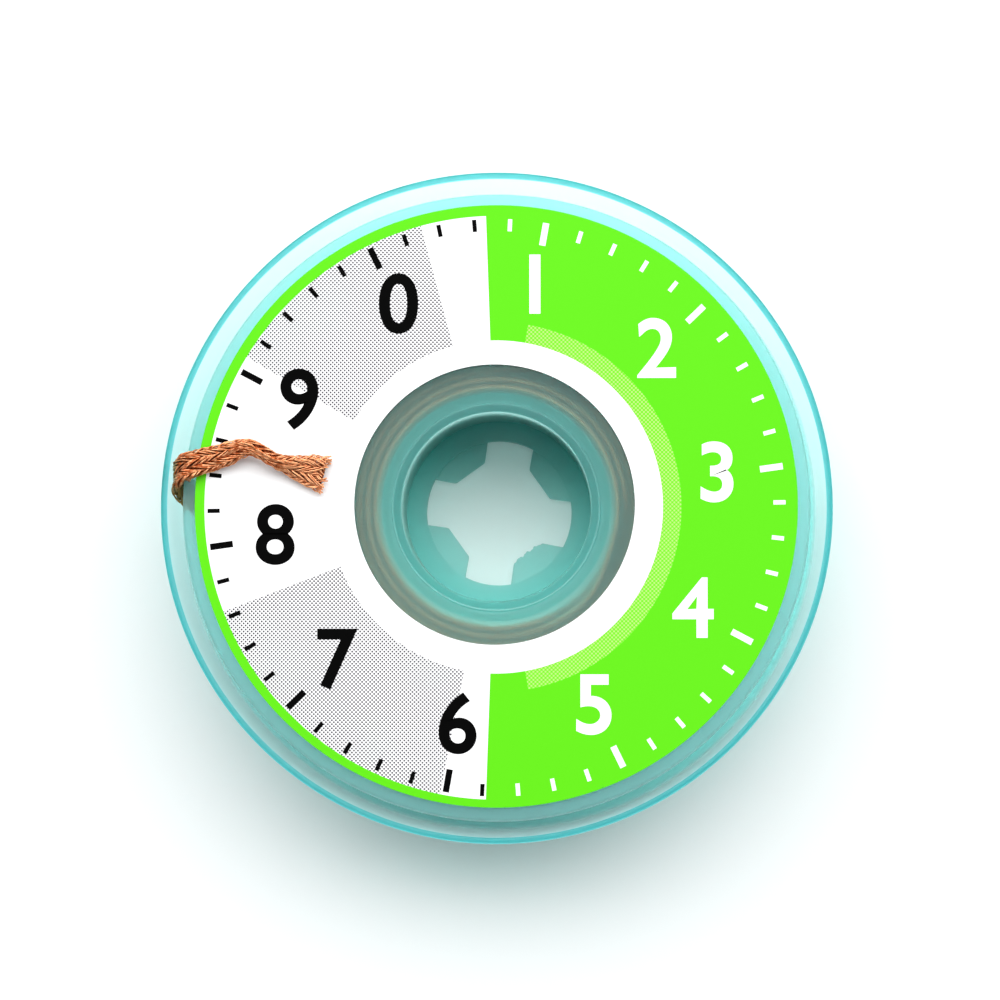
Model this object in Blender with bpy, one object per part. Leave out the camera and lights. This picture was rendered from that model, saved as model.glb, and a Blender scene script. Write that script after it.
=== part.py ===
"""Flat copper desoldering braid on a small round bobbin case.

The braid is wound on the hub tube inside a shallow plastic dish. A lid with a paper label
closes the dish, but for a narrow slit all round. The braid's free end comes up through that
slit, folds back over the lid's edge and lies over the label.

Units are metres, +Z is up, and the origin is the centre of the case's underside.
"""
import math

import bmesh
import bpy
from mathutils import Vector

MM = 0.001
UP = Vector((0.0, 0.0, 1.0))

# The braid and how it is wound
BRAID_WIDTH = 1.5 * MM
BRAID_THICKNESS = 0.4 * MM
BRAID_CORNER = 0.12 * MM           # chamfer on the long edges of the flat braid
LAYER_PITCH = 0.55 * MM            # loosely wound: a little more than the braid's thickness
FULL_LAYERS = 5
WINDING_COLUMNS = 5                # turns side by side along the hub
WINDING_CLEARANCE = 0.05 * MM      # from the winding to the floor, and to the lid
WINDING_BORE_CLEARANCE = 0.1 * MM  # from the hub tube to the first layer
LAST_TURN_CLEARANCE = 0.1 * MM     # from the full layers to the part turn on top of them
TURN_NOTCH = 0.1 * MM              # depth and half width of the groove between two turns

# The case base: floor, thin wall and rim, hub tube
RIM_RADIUS = 22.0 * MM
RIM_THICKNESS = 0.4 * MM
WALL_FOOT_THICKNESS = 0.5 * MM
WALL_DRAFT = 0.12 * MM             # the outside leans in by this much from the rim to the floor
FLOOR_THICKNESS = 1.0 * MM
BOTTOM_EDGE_RADIUS = 0.9 * MM      # outside, between underside and wall
FLOOR_FILLET = 0.4 * MM            # inside, between floor and wall
HUB_RADIUS = 7.52 * MM
HUB_WALL = 0.54 * MM

# The opening in the floor under the bore, with its thin inward tabs
BORE_OPENING_RADIUS = 4.9 * MM
TAB_COUNT = 4
FIRST_TAB_ANGLE = math.radians(35.6)
TAB_THICKNESS = 0.5 * MM
TAB_TIP_DISTANCE = 3.37 * MM       # from the axis to the straight tip of a tab
TAB_TIP_HALF_WIDTH = 1.2 * MM
TAB_ROOT_HALF_WIDTH = 2.17 * MM
TAB_STEP_MARGIN = 0.05 * MM        # the opening is cut this far into the full floor thickness

# The lid: disc and sleeve
LID_THICKNESS = 1.0 * MM
LID_SEAT_CLEARANCE = 0.1 * MM      # from the hub tube's end to the lid, and from sleeve to floor
SLIT_WIDTH = 1.05 * MM             # between the lid's edge and the rim: the braid comes out here
SLEEVE_WALL = 0.68 * MM
SLEEVE_CLEARANCE = 0.1 * MM        # all round, between the sleeve and the hub tube
LID_EDGE_RADIUS = 0.25 * MM
COLLAR_WIDTH = 0.58 * MM           # low raised collar round the bore
COLLAR_HEIGHT = 0.15 * MM
COLLAR_EDGE_RADIUS = 0.12 * MM

# The paper label, stuck on slightly off centre
LABEL_RADIUS = 19.72 * MM
LABEL_HOLE_RADIUS = 9.18 * MM
LABEL_THICKNESS = 0.12 * MM
LABEL_LIFT = 0.03 * MM             # the glue under the paper
LABEL_SHIFT = Vector((-0.02 * MM, 0.09 * MM, 0.0))
LABEL_HOLE_SHIFT = Vector((-0.11 * MM, 0.15 * MM, 0.0))

# Number of straight steps in a full turn of the case, in one of the winding, and in a corner
TURN_STEPS = 72
WINDING_STEPS = 54
CORNER_STEPS = 4

# Heights and radii that follow from the values above
WINDING_BOTTOM = FLOOR_THICKNESS + WINDING_CLEARANCE
WINDING_TOP = WINDING_BOTTOM + WINDING_COLUMNS * BRAID_WIDTH
LID_UNDERSIDE = WINDING_TOP + WINDING_CLEARANCE
CASE_HEIGHT = LID_UNDERSIDE + LID_THICKNESS
WINDING_INNER_RADIUS = HUB_RADIUS + WINDING_BORE_CLEARANCE
WINDING_RADIUS = WINDING_INNER_RADIUS + FULL_LAYERS * LAYER_PITCH
LID_RADIUS = RIM_RADIUS - RIM_THICKNESS - SLIT_WIDTH
SLEEVE_RADIUS = HUB_RADIUS - HUB_WALL - SLEEVE_CLEARANCE
BORE_RADIUS = SLEEVE_RADIUS - SLEEVE_WALL

# The free end of the braid: a last part turn round the winding, then a straight stretch under
# the lid, along which it turns from its edge to lie flat, to the place where it folds over.
LAST_TURN = 0.85                   # share of a turn
LAST_TURN_PLACES = 15
STRETCH_PLACES = 6
FOLD_ANGLE = math.radians(175.3)   # of the place on the lid's edge where it folds over

# From there on its places were chosen by hand. It folds round the lid's edge, rises off the
# label, turns half on its edge and comes down to the cut end. Each row gives, in millimetres,
# how far in from the lid's edge the middle of the braid is, how far along that edge
# (clockwise, seen from above) and how high above a level in the lid, where 0 is the lid's
# underside and 1 its top. The direction of the braid's width follows, on the same three axes.
FOLD_ROUTE_MM = [
    (1.20, -1.35, 0.0, -0.28, (0.47, 0.88, 0.00)),
    (0.30, -0.74, 0.0, -0.26, (0.45, 0.89, -0.10)),
    (-0.30, -0.21, 0.0, 0.18, (0.22, 0.92, -0.35)),
    (-0.44, 0.23, 0.5, 0.12, (-0.07, 0.90, -0.40)),
    (-0.29, 0.65, 1.0, 0.08, (-0.23, 0.92, -0.25)),
    (0.22, 1.02, 1.0, 0.38, (-0.33, 0.94, -0.05)),
    (1.27, 1.42, 1.0, 0.44, (-0.36, 0.93, 0.00)),
    (2.54, 1.89, 1.0, 0.60, (-0.38, 0.92, 0.05)),
    (3.55, 2.37, 1.0, 0.82, (-0.32, 0.91, 0.20)),
    (4.24, 2.53, 1.0, 0.98, (-0.02, 0.85, 0.50)),
    (4.96, 2.28, 1.0, 1.04, (0.27, 0.57, 0.77)),
    (5.90, 1.83, 1.0, 0.98, (0.25, 0.62, 0.74)),
    (7.03, 1.54, 1.0, 0.82, (0.17, 0.82, 0.52)),
    (8.05, 1.36, 1.0, 0.64, (0.14, 0.95, 0.25)),
    (9.17, 1.15, 1.0, 0.52, (0.17, 0.98, 0.06)),
]
ROUTE_STEPS = 4                    # sections from one place of the route to the next
END_FLARE = 1.4                    # how much wider the cut end has spread
END_FLARE_PLACES = 3               # over how many places of the route it spreads


def rounded_outline(corners):
    """Closed outline from (point, radius) corners, each radius drawn as a short arc."""
    outline = []
    count = len(corners)
    for index, (corner, radius) in enumerate(corners):
        corner = Vector(corner)
        if radius <= 0.0:
            outline.append(corner)
            continue
        to_before = (Vector(corners[index - 1][0]) - corner).normalized()
        to_after = (Vector(corners[(index + 1) % count][0]) - corner).normalized()
        half_angle = to_before.angle(to_after) / 2.0
        middle = corner + (to_before + to_after).normalized() * (radius / math.sin(half_angle))
        start = (corner + to_before * (radius / math.tan(half_angle)) - middle).normalized()
        end = (corner + to_after * (radius / math.tan(half_angle)) - middle).normalized()
        for step in range(CORNER_STEPS + 1):
            outline.append(middle + start.slerp(end, step / CORNER_STEPS) * radius)
    return outline


def mesh_object(name, shape, material):
    """Put a finished bmesh into the scene as one named object."""
    bmesh.ops.recalc_face_normals(shape, faces=shape.faces)
    mesh = bpy.data.meshes.new(name)
    shape.to_mesh(mesh)
    shape.free()
    mesh.shade_smooth()
    mesh.set_sharp_from_angle(angle=math.radians(35.0))
    mesh.materials.append(material)
    piece = bpy.data.objects.new(name, mesh)
    bpy.context.scene.collection.objects.link(piece)
    return piece


def turned_piece(name, outline, material, steps=TURN_STEPS):
    """Spin a closed (radius, height) outline once round the Z axis."""
    shape = bmesh.new()
    verts = [shape.verts.new((point[0], 0.0, point[1])) for point in outline]
    edges = [shape.edges.new((verts[i - 1], verts[i])) for i in range(len(verts))]
    bmesh.ops.spin(
        shape,
        geom=verts + edges,
        cent=(0.0, 0.0, 0.0),
        axis=UP,
        angle=math.tau,
        steps=steps,
        use_merge=True,
    )
    return mesh_object(name, shape, material)


def circle_points(radius, centre, height):
    """Points round a level circle."""
    angles = [math.tau * step / TURN_STEPS for step in range(TURN_STEPS)]
    return [centre + Vector((radius * math.cos(a), radius * math.sin(a), height)) for a in angles]


def principled(name, colour, roughness, metallic=0.0, alpha=1.0):
    """A plain material in the part's own colour."""
    material = bpy.data.materials.new(name)
    material.use_nodes = True
    shader = material.node_tree.nodes["Principled BSDF"]
    shader.inputs["Base Color"].default_value = (*colour, 1.0)
    shader.inputs["Roughness"].default_value = roughness
    shader.inputs["Metallic"].default_value = metallic
    shader.inputs["Alpha"].default_value = alpha
    return material


def base_outline():
    """Half section of the case base: floor, thin wall, rim and hub tube.

    Inside the bore's opening the floor steps down to the thickness of the tabs. It runs in
    past their tips, and the opening between the tabs is cut afterwards.
    """
    tab_blank_hole = TAB_TIP_DISTANCE / 2.0
    tab_step = BORE_OPENING_RADIUS - TAB_STEP_MARGIN
    wall_foot = RIM_RADIUS - WALL_DRAFT
    inner_foot = wall_foot - WALL_FOOT_THICKNESS
    hub_bore = HUB_RADIUS - HUB_WALL
    hub_top = LID_UNDERSIDE - LID_SEAT_CLEARANCE
    rim_round = RIM_THICKNESS * 0.45
    return rounded_outline([
        ((tab_blank_hole, 0.0), 0.0),
        ((tab_blank_hole, TAB_THICKNESS), 0.0),
        ((tab_step, TAB_THICKNESS), 0.0),
        ((tab_step, FLOOR_THICKNESS), 0.0),
        ((hub_bore, FLOOR_THICKNESS), 0.0),
        ((hub_bore, hub_top), HUB_WALL * 0.3),
        ((HUB_RADIUS, hub_top), HUB_WALL * 0.3),
        ((HUB_RADIUS, FLOOR_THICKNESS), 0.0),
        ((inner_foot, FLOOR_THICKNESS), FLOOR_FILLET),
        ((RIM_RADIUS - RIM_THICKNESS, CASE_HEIGHT), rim_round),
        ((RIM_RADIUS, CASE_HEIGHT), rim_round),
        ((wall_foot, 0.0), BOTTOM_EDGE_RADIUS),
    ])


def bore_opening_outline():
    """Outline of the opening in the floor: a circle with tapered tabs reaching in."""
    outline = []
    root_angle = math.asin(TAB_ROOT_HALF_WIDTH / BORE_OPENING_RADIUS)
    tip_angle = math.atan2(TAB_TIP_HALF_WIDTH, TAB_TIP_DISTANCE)
    tip_radius = math.hypot(TAB_TIP_HALF_WIDTH, TAB_TIP_DISTANCE)
    spacing = math.tau / TAB_COUNT
    arc_steps = TURN_STEPS // (2 * TAB_COUNT)
    for tab in range(TAB_COUNT):
        middle = FIRST_TAB_ANGLE + tab * spacing
        for side in (-1.0, 1.0):
            angle = middle + side * tip_angle
            outline.append((tip_radius * math.cos(angle), tip_radius * math.sin(angle)))
        arc = spacing - 2.0 * root_angle
        for step in range(arc_steps + 1):
            angle = middle + root_angle + arc * step / arc_steps
            outline.append((
                BORE_OPENING_RADIUS * math.cos(angle),
                BORE_OPENING_RADIUS * math.sin(angle),
            ))
    return outline


def build_base(material):
    """The case base, with the tabbed opening cut through its floor."""
    base = turned_piece("case_base", base_outline(), material)
    shape = bmesh.new()
    outline = bore_opening_outline()
    below = -FLOOR_THICKNESS
    face = shape.faces.new([shape.verts.new((x, y, below)) for x, y in outline])
    raised = bmesh.ops.extrude_face_region(shape, geom=[face])
    corners = [item for item in raised["geom"] if isinstance(item, bmesh.types.BMVert)]
    bmesh.ops.translate(shape, verts=corners, vec=UP * (3.0 * FLOOR_THICKNESS))
    cutter = mesh_object("bore_opening_cutter", shape, material)
    cutter.hide_render = True
    cutter.display_type = "WIRE"
    cut = base.modifiers.new("bore_opening", "BOOLEAN")
    cut.operation = "DIFFERENCE"
    cut.object = cutter
    return base


def build_lid(material):
    """The lid: a flat disc with a low collar, and the sleeve that fills the hub tube."""
    sleeve_bottom = FLOOR_THICKNESS + LID_SEAT_CLEARANCE
    collar_radius = BORE_RADIUS + COLLAR_WIDTH
    collar_top = CASE_HEIGHT + COLLAR_HEIGHT
    outline = rounded_outline([
        ((BORE_RADIUS, collar_top), COLLAR_EDGE_RADIUS),
        ((collar_radius, collar_top), COLLAR_EDGE_RADIUS),
        ((collar_radius, CASE_HEIGHT), 0.0),
        ((LID_RADIUS, CASE_HEIGHT), LID_EDGE_RADIUS),
        ((LID_RADIUS, LID_UNDERSIDE), LID_EDGE_RADIUS),
        ((SLEEVE_RADIUS, LID_UNDERSIDE), 0.0),
        ((SLEEVE_RADIUS, sleeve_bottom), SLEEVE_WALL * 0.3),
        ((BORE_RADIUS, sleeve_bottom), 0.0),
    ])
    return turned_piece("case_lid", outline, material)


def build_label(material):
    """The paper ring on the lid. Its hole is a little further off centre than its edge."""
    bottom = CASE_HEIGHT + LABEL_LIFT
    top = bottom + LABEL_THICKNESS
    shape = bmesh.new()
    loops = []
    for radius, shift, height in (
        (LABEL_RADIUS, LABEL_SHIFT, bottom),
        (LABEL_RADIUS, LABEL_SHIFT, top),
        (LABEL_HOLE_RADIUS, LABEL_HOLE_SHIFT, top),
        (LABEL_HOLE_RADIUS, LABEL_HOLE_SHIFT, bottom),
    ):
        loops.append([shape.verts.new(point) for point in circle_points(radius, shift, height)])
    for index, loop in enumerate(loops):
        after = loops[(index + 1) % len(loops)]
        for step in range(TURN_STEPS):
            ahead = (step + 1) % TURN_STEPS
            shape.faces.new((loop[step], loop[ahead], after[ahead], after[step]))
    return mesh_object("label", shape, material)


def notched_side(start, end, parts, inward):
    """Straight side from start to end with a small groove between every two turns."""
    start, end = Vector(start), Vector(end)
    along = (end - start).normalized() * TURN_NOTCH
    points = [start]
    for part in range(1, parts):
        middle = start.lerp(end, part / parts)
        points += [middle - along, middle + Vector(inward) * TURN_NOTCH, middle + along]
    return points + [end]


def build_coil(material):
    """The full layers of wound braid as one ring, with a groove between every two turns."""
    bottom_inside = (WINDING_INNER_RADIUS, WINDING_BOTTOM)
    bottom_outside = (WINDING_RADIUS, WINDING_BOTTOM)
    top_inside = (WINDING_INNER_RADIUS, WINDING_TOP)
    top_outside = (WINDING_RADIUS, WINDING_TOP)
    outline = notched_side(bottom_inside, bottom_outside, FULL_LAYERS, (0.0, 1.0))
    outline += notched_side(bottom_outside, top_outside, WINDING_COLUMNS, (-1.0, 0.0))[1:]
    outline += notched_side(top_outside, top_inside, FULL_LAYERS, (0.0, -1.0))[1:]
    return turned_piece("braid_coil", outline, material, WINDING_STEPS)


def level_direction(angle):
    """Unit vector that points away from the axis at this angle."""
    return Vector((math.cos(angle), math.sin(angle), 0.0))


def fold_route():
    """Places and width directions from the lid's underside to the braid's cut end."""
    outward = level_direction(FOLD_ANGLE)
    clockwise = level_direction(FOLD_ANGLE - math.pi / 2.0)
    route = []
    for inward, along, level, above, width in FOLD_ROUTE_MM:
        height = LID_UNDERSIDE + level * LID_THICKNESS + above * MM
        radius = LID_RADIUS - inward * MM
        place = outward * radius + clockwise * (along * MM) + UP * height
        route.append((place, clockwise * width[1] - outward * width[0] + UP * width[2]))
    return route


def wound_route(fold_start):
    """Places and width directions of the last part turn and of the stretch to the fold."""
    turn_radius = WINDING_RADIUS + LAST_TURN_CLEARANCE + BRAID_THICKNESS / 2.0
    target = Vector((fold_start.x, fold_start.y, 0.0))
    leaving_angle = math.atan2(target.y, target.x) + math.acos(turn_radius / target.length)
    turn_height = UP * (WINDING_TOP - BRAID_WIDTH / 2.0)
    route = []
    for index in range(LAST_TURN_PLACES):
        angle = leaving_angle + math.tau * LAST_TURN * (1.0 - index / LAST_TURN_PLACES)
        route.append((level_direction(angle) * turn_radius + turn_height, UP))
    leaving = level_direction(leaving_angle) * turn_radius
    sideways = level_direction(leaving_angle) * -1.0
    for index in range(STRETCH_PLACES):
        share = index / STRETCH_PLACES
        lean = math.pi / 2.0 * (1.0 - share * share * (3.0 - 2.0 * share))
        reach = (BRAID_WIDTH * math.sin(lean) + BRAID_THICKNESS * math.cos(lean)) / 2.0
        height = LID_UNDERSIDE - WINDING_CLEARANCE - reach
        width = UP * math.sin(lean) + sideways * math.cos(lean)
        route.append((leaving.lerp(target, share) + UP * height, width))
    return route


def smooth_route(route):
    """Catmull-Rom curve through the route's places and width directions."""
    last = len(route) - 1
    smooth = []
    for index in range(last):
        around = [route[max(index - 1, 0)], route[index], route[index + 1]]
        around.append(route[min(index + 2, last)])
        for step in range(ROUTE_STEPS):
            t = step / ROUTE_STEPS
            weights = (
                (-t + 2.0 * t ** 2 - t ** 3) / 2.0,
                (2.0 - 5.0 * t ** 2 + 3.0 * t ** 3) / 2.0,
                (t + 4.0 * t ** 2 - 3.0 * t ** 3) / 2.0,
                (t ** 3 - t ** 2) / 2.0,
            )
            place = sum((near[0] * w for near, w in zip(around, weights)), Vector())
            width = sum((near[1] * w for near, w in zip(around, weights)), Vector())
            smooth.append((place, width))
    smooth.append(route[last])
    return smooth


def braid_section(width):
    """Corners of the flat braid's section, as offsets along its width and its thickness."""
    half_width = width / 2.0
    half_thickness = BRAID_THICKNESS / 2.0
    corner = BRAID_CORNER
    return [
        (half_width, half_thickness - corner),
        (half_width - corner, half_thickness),
        (corner - half_width, half_thickness),
        (-half_width, half_thickness - corner),
        (-half_width, corner - half_thickness),
        (corner - half_width, -half_thickness),
        (half_width - corner, -half_thickness),
        (half_width, corner - half_thickness),
    ]


def build_tail(material):
    """The free end of the braid, swept along its route."""
    folded = fold_route()
    route = smooth_route(wound_route(folded[0][0]) + folded)
    flare_sections = END_FLARE_PLACES * ROUTE_STEPS
    flare_start = len(route) - 1 - flare_sections
    shape = bmesh.new()
    rings = []
    for index, (place, width_direction) in enumerate(route):
        ahead = route[min(index + 1, len(route) - 1)][0]
        behind = route[max(index - 1, 0)][0]
        along = (ahead - behind).normalized()
        across = (width_direction - along * width_direction.dot(along)).normalized()
        normal = along.cross(across)
        spread = max(index - flare_start, 0) / flare_sections
        section = braid_section(BRAID_WIDTH * (1.0 + (END_FLARE - 1.0) * spread))
        rings.append([shape.verts.new(place + across * a + normal * b) for a, b in section])
    for ring, following in zip(rings, rings[1:]):
        for corner in range(len(ring)):
            before = corner - 1
            shape.faces.new((ring[before], ring[corner], following[corner], following[before]))
    shape.faces.new(rings[0])
    shape.faces.new(rings[-1])
    return mesh_object("braid_tail", shape, material)


def main():
    """Build every piece of the bobbin in an empty scene."""
    for item in list(bpy.data.objects):
        bpy.data.objects.remove(item, do_unlink=True)
    plastic = principled("translucent_teal_plastic", (0.30, 0.80, 0.76), 0.35, alpha=0.7)
    lid_plastic = principled("translucent_teal_lid_plastic", (0.26, 0.72, 0.68), 0.35, alpha=0.7)
    paper = principled("label_paper", (0.62, 0.86, 0.42), 0.6)
    copper = principled("copper_braid", (0.72, 0.34, 0.16), 0.4, metallic=1.0)
    tail_copper = principled("copper_braid_end", (0.76, 0.36, 0.18), 0.4, metallic=1.0)
    build_base(plastic)
    build_lid(lid_plastic)
    build_label(paper)
    build_coil(copper)
    build_tail(tail_copper)


main()
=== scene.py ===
"""Looks of a flat copper desoldering braid on its small translucent bobbin case.

The case is a shallow dish with a hub tube, closed by a lid with a sleeve and a round printed
label. The braid is wound on the hub tube, and its free end comes out through the slit round the
lid. Sizes are in metres in the part's own frame: +Z is up, and the origin is the centre of the
case's underside.
"""
from __future__ import annotations

import logging
import math
import random
from collections.abc import Callable, Sequence
from dataclasses import dataclass, field
from enum import Enum
from typing import Any

import bmesh
import bpy
from mathutils import Matrix, Vector

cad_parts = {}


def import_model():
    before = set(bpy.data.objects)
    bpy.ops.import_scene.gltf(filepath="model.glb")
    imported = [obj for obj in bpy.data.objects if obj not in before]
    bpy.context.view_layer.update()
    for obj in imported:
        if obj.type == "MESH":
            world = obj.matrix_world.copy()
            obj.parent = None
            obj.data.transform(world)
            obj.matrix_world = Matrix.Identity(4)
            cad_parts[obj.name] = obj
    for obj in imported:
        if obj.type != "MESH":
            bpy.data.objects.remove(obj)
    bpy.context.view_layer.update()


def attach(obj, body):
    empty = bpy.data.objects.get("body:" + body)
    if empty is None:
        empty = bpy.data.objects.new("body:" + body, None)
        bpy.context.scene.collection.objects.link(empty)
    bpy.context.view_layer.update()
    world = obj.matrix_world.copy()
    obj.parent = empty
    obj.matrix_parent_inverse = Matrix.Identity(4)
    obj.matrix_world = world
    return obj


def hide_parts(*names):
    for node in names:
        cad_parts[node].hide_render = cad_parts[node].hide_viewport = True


LOG = logging.getLogger("desoldering_braid")
MM = 0.001
UP = Vector((0.0, 0.0, 1.0))
BODY = "root"
SAME_PLACE = 0.0005 * MM             # corners of a turned shape that lie closer than this are one
Outline = list[tuple[float, float]]
Tree = bpy.types.NodeTree
Socket = bpy.types.NodeSocket
Shape = bmesh.types.BMesh
Frame = tuple[Vector, Vector, Vector, float]


@dataclass(frozen=True)
class Station:
    """One place along the braid, with the direction of the braid's width there."""

    place: Vector
    across: Vector


class Ink(Enum):
    """The inks that are printed on the label as raised films, as sRGB colours."""

    BLACK = "#050505"
    WHITE = "#fdfefc"


class Side(Enum):
    """The side of a limit on which a zone lies."""

    ABOVE = 1
    BELOW = -1


class Lean(Enum):
    """The two ways in which the strands of a braid run round it."""

    RIGHT = 1
    LEFT = -1


def linear_colour(hex_colour: str) -> tuple[float, float, float, float]:
    """Turn an sRGB hex colour into linear light.

    Args:
        hex_colour: The colour as "#rrggbb".

    Returns:
        Linear red, green and blue, and an alpha of 1.
    """
    channels = [int(hex_colour[start:start + 2], 16) / 255.0 for start in (1, 3, 5)]
    linear = [c / 12.92 if c <= 0.04045 else ((c + 0.055) / 1.055) ** 2.4 for c in channels]
    return (linear[0], linear[1], linear[2], 1.0)


def add_node(tree: Tree, kind: str, inputs: dict[int | str, Any] | None = None,
             **settings: Any) -> bpy.types.Node:
    """Add one shader node with its settings and links.

    Args:
        tree: The node tree that gets the node.
        kind: The node's type name.
        inputs: For each input, by name or number, the socket to link or the value to set.
        **settings: Properties of the node itself.

    Returns:
        The new node.
    """
    node = tree.nodes.new(kind)
    for name, value in settings.items():
        setattr(node, name, value)
    for key, value in (inputs or {}).items():
        if isinstance(value, Socket):
            tree.links.new(value, node.inputs[key])
        else:
            node.inputs[key].default_value = value
    return node


def mixed_colour(tree: Tree, share: Any, first: Any, second: Any) -> Socket:
    """Mix two colours.

    Args:
        tree: The node tree that gets the mix.
        share: How much there is of the second colour, as a socket or a value.
        first: The one colour, as a socket, linear light or "#rrggbb".
        second: The other, likewise.

    Returns:
        The mixed colour's socket.
    """
    colours = [linear_colour(c) if isinstance(c, str) else c for c in (first, second)]
    return add_node(tree, "ShaderNodeMix", {0: share, 6: colours[0], 7: colours[1]},
                    data_type="RGBA").outputs[2]


def empty_material(name: str) -> tuple[bpy.types.Material, Tree]:
    """Make a material without nodes.

    Args:
        name: The material's name.

    Returns:
        The material and its node tree.
    """
    material = bpy.data.materials.new(name)
    material.use_nodes = True
    material.node_tree.nodes.clear()
    return material, material.node_tree


def level_direction(angle: float) -> Vector:
    """Return the level unit vector that points away from the axis at this angle."""
    return Vector((math.cos(angle), math.sin(angle), 0.0))


def eased(share: float) -> float:
    """Return a share from 0 to 1 with a soft start and end."""
    share = min(max(share, 0.0), 1.0)
    return share * share * (3.0 - 2.0 * share)


def full_turn(steps: int) -> list[float]:
    """Return evenly spaced angles, once round the axis."""
    return [math.tau * step / steps for step in range(steps)]


def rounded_outline(corners: Sequence[tuple[tuple[float, float], float]], steps: int) -> Outline:
    """Round the corners of a closed outline.

    Args:
        corners: Each corner's (radius, height) and the radius of its rounding.
        steps: Number of straight steps in each rounding.

    Returns:
        The outline's points.
    """
    outline: Outline = []
    for index, (corner, rounding) in enumerate(corners):
        point = Vector(corner)
        if rounding <= 0.0:
            outline.append((point.x, point.y))
            continue
        to_before = (Vector(corners[index - 1][0]) - point).normalized()
        to_after = (Vector(corners[(index + 1) % len(corners)][0]) - point).normalized()
        half_angle = to_before.angle(to_after) / 2.0
        middle = point + (to_before + to_after).normalized() * (rounding / math.sin(half_angle))
        start = (point + to_before * (rounding / math.tan(half_angle)) - middle).normalized()
        end = (point + to_after * (rounding / math.tan(half_angle)) - middle).normalized()
        for step in range(steps + 1):
            place = middle + start.slerp(end, step / steps) * rounding
            outline.append((place.x, place.y))
    return outline


def skin_over(shape: Shape, rings: Sequence[Sequence[bmesh.types.BMVert]],
              ) -> list[list[bmesh.types.BMFace]]:
    """Lay faces from each ring of corners to the next.

    Args:
        shape: The shape that holds the rings.
        rings: The closed rings, all with as many corners.

    Returns:
        For each ring but the last, the faces that lead on from it, in the corners' order.
    """
    return [
        [shape.faces.new((near[i], near[i + 1 - len(near)], far[i + 1 - len(near)], far[i]))
         for i in range(len(near))]
        for near, far in zip(rings, rings[1:])
    ]


def turned_shape(outline_at: Callable[[float], Outline], angles: Sequence[float]) -> Shape:
    """Turn a closed half section round the Z axis.

    Args:
        outline_at: Gives the section's (radius, height) points at an angle, always as many.
        angles: The angles round the axis at which the section is placed.

    Returns:
        The closed shape.
    """
    shape = bmesh.new()
    rings = [
        [shape.verts.new((r * math.cos(a), r * math.sin(a), z)) for r, z in outline_at(a)]
        for a in angles
    ]
    skin_over(shape, rings + rings[:1])
    bmesh.ops.remove_doubles(shape, verts=shape.verts, dist=SAME_PLACE)
    return shape


def finished_piece(name: str, shape: Shape, material: bpy.types.Material,
                   sharp_angle: float = 35.0) -> bpy.types.Object:
    """Make one piece of the part from a shape and report it.

    Args:
        name: The piece's name.
        shape: Its shape, which is used up.
        material: Its finish.
        sharp_angle: Edges sharper than this many degrees stay sharp.

    Returns:
        The piece, riding on the part's one body.
    """
    bmesh.ops.recalc_face_normals(shape, faces=shape.faces)
    mesh = bpy.data.meshes.new(name)
    shape.to_mesh(mesh)
    shape.free()
    mesh.shade_smooth()
    mesh.set_sharp_from_angle(angle=math.radians(sharp_angle))
    mesh.materials.append(material)
    piece = bpy.data.objects.new(name, mesh)
    bpy.context.scene.collection.objects.link(piece)
    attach(piece, BODY)
    LOG.info("%s: %d faces in %s", name, len(mesh.polygons), material.name)
    return piece


@dataclass(frozen=True)
class Haze:
    """What one zone of the plastic does with light at its skin."""

    clear: float                     # share of the light that passes straight on
    sent_back: str                   # colour of what the haze sends back
    forward: str                     # colour of what it spreads forward


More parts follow.
